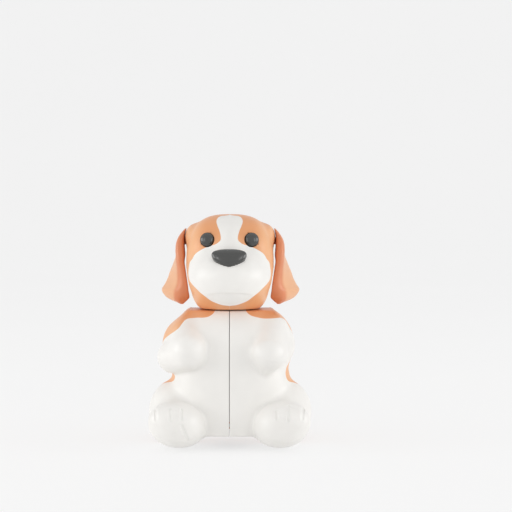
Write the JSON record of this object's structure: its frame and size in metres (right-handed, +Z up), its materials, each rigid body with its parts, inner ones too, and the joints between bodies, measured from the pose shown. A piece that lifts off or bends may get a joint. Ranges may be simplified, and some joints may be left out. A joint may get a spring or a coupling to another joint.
{
  "type": "toothbrush cover",
  "caption": "Puppy-shaped toothbrush cover with a fixed head and two swinging body halves over a brush chamber, held to a wall by a suction cup.",
  "frame": {"origin": "centre of the suction cup's lip, on the wall face", "axes": "+Z up, +Y into the wall, +X to the viewer's right; the face looks along -Y"},
  "size_m": [0.0564, 0.0495, 0.08],
  "materials": {
    "coat_orange": "satin moulded orange plastic",
    "body_white": "satin moulded white plastic, orange coat painted on the shoulders and back",
    "ear_orange": "satin moulded orange plastic",
    "dark_gloss": "glossy dark grey plastic",
    "leaf_white": "matt moulded white plastic",
    "frame_orange": "matt moulded orange plastic",
    "cup_clear": "clear soft vinyl",
    "steel": "plain steel"
  },
  "bodies": {
    "frame": {"back_frame": "frame_orange", "suction_cup": "cup_clear", "hinge_pin_left": "steel", "hinge_pin_right": "steel", "head_face": "coat_orange", "head_back": "coat_orange", "head_screws": "steel", "frame_screws": "steel", "ear_left": "ear_orange", "ear_right": "ear_orange", "eye_left": "dark_gloss", "eye_right": "dark_gloss", "nose": "dark_gloss"},
    "left_half": {"door_left": "body_white", "leaf_left": "leaf_white", "leaf_screws_left": "steel"},
    "right_half": {"door_right": "body_white", "leaf_right": "leaf_white", "leaf_screws_right": "steel"}
  },
  "joints": [
    {"name": "door_left_hinge", "type": "hinge", "parent": "frame", "child": "left_half", "pos_m": [-0.0095, -0.015, -0.009], "axis": [0, 0, -1], "range_deg": [0, 60]},
    {"name": "door_right_hinge", "type": "hinge", "parent": "frame", "child": "right_half", "pos_m": [0.0095, -0.015, -0.009], "axis": [0, 0, 1], "range_deg": [0, 60]}
  ]
}
